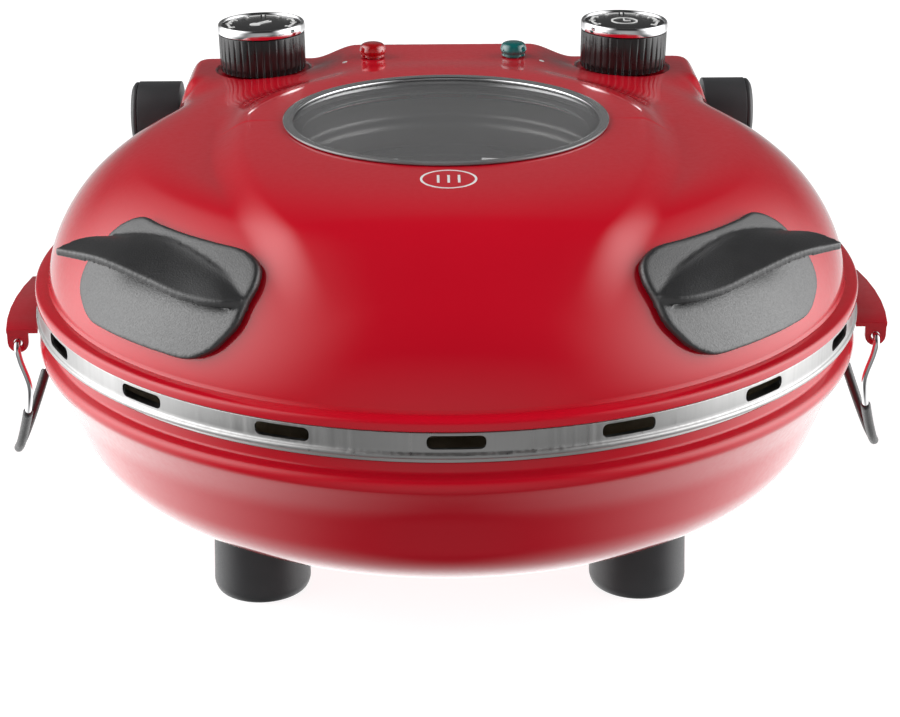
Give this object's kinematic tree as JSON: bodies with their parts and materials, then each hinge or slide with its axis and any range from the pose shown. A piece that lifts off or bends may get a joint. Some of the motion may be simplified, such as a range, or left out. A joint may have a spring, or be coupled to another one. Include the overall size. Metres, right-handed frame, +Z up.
{
  "type": "countertop pizza oven",
  "caption": "Round countertop pizza oven: a stone-floored base bowl under a hinged domed lid with a glass window, rotary controls, lift handles and side wire latches.",
  "frame": {"origin": "on the table, under the middle of the oven's whole outline", "axes": "+Z up, +Y from the handles at the front to the controls and hinge at the back, +X to the user's right"},
  "size_m": [0.387, 0.365, 0.1924],
  "materials": {
    "red_enamel": "satin gloss",
    "belt_steel": "brushed",
    "inner_steel": "satin",
    "fastener_steel": "zinc plated",
    "element_steel": "heat darkened",
    "chrome_trim": "polished",
    "black_grip": "fine grain satin",
    "black_gloss": "gloss",
    "foot_plastic": "satin",
    "grey_seal": "matte",
    "window_pane": "smoked",
    "stone": "rough unglazed cordierite, opaque",
    "red_lens": "translucent gloss",
    "green_lens": "translucent gloss"
  },
  "bodies": {
    "base": {"baking_stone": "stone", "base_liner": "inner_steel", "base_shell": "red_enamel", "cord_inlet": "black_grip", "foot_front_left": "foot_plastic", "foot_front_right": "foot_plastic", "foot_rear_left": "foot_plastic", "foot_rear_right": "foot_plastic", "foot_screw_front_left": "fastener_steel", "foot_screw_front_right": "fastener_steel", "foot_screw_rear_left": "fastener_steel", "foot_screw_rear_right": "fastener_steel", "hinge_cap_left": "foot_plastic", "hinge_cap_right": "foot_plastic", "hinge_pin_left": "fastener_steel", "hinge_pin_right": "fastener_steel", "hinge_post_left": "foot_plastic", "hinge_post_right": "foot_plastic", "latch_bracket_left": "red_enamel", "latch_bracket_right": "red_enamel", "lower_element": "element_steel", "lower_element_clip_1": "fastener_steel", "lower_element_clip_2": "fastener_steel", "lower_element_clip_3": "fastener_steel"},
    "lid": {"handle_left": "black_grip", "handle_right": "black_grip", "handle_screw_left_1": "fastener_steel", "handle_screw_left_2": "fastener_steel", "handle_screw_right_1": "fastener_steel", "handle_screw_right_2": "fastener_steel", "heat_lamp": "green_lens", "hinge_lug_left": "foot_plastic", "hinge_lug_right": "foot_plastic", "lid_reflector": "inner_steel", "lid_shell": "red_enamel", "power_lamp": "red_lens", "thermostat": "inner_steel", "timer_unit": "inner_steel", "upper_element": "element_steel", "upper_element_clip_1": "fastener_steel", "upper_element_clip_2": "fastener_steel", "upper_element_clip_3": "fastener_steel", "vent_belt": "belt_steel", "window_gasket": "grey_seal", "window_glass": "window_pane", "window_retainer": "inner_steel"},
    "temperature_control": {"temperature_dial": "black_gloss", "temperature_knob": "black_gloss", "temperature_knob_ring": "chrome_trim", "temperature_shaft": "fastener_steel"},
    "timer_control": {"timer_dial": "black_gloss", "timer_knob": "black_gloss", "timer_knob_ring": "chrome_trim", "timer_shaft": "fastener_steel"},
    "left_bail": {"bail_sleeve_left": "black_grip", "bail_wire_left": "chrome_trim"},
    "right_bail": {"bail_sleeve_right": "black_grip", "bail_wire_right": "chrome_trim"}
  },
  "joints": [
    {"name": "lid_hinge", "type": "hinge", "parent": "base", "child": "lid", "pos_m": [0, 0.16575, 0.1313], "axis": [-1, 0, 0], "range_deg": [0, 100]},
    {"name": "temperature_turn", "type": "hinge", "parent": "lid", "child": "temperature_control", "pos_m": [-0.0848, 0.10755, 0.1699], "axis": [-0.0175, 0, 0.9998], "range_deg": [-270, 0]},
    {"name": "timer_turn", "type": "hinge", "parent": "lid", "child": "timer_control", "pos_m": [0.0848, 0.10755, 0.1699], "axis": [0.0175, 0, 0.9998], "range_deg": [-300, 0]},
    {"name": "left_bail_swing", "type": "hinge", "parent": "base", "child": "left_bail", "pos_m": [-0.1808, -0.00725, 0.09], "axis": [0, 1, 0], "range_deg": [-10, 185]},
    {"name": "right_bail_swing", "type": "hinge", "parent": "base", "child": "right_bail", "pos_m": [0.1808, -0.00725, 0.09], "axis": [0, -1, 0], "range_deg": [-10, 185]}
  ]
}
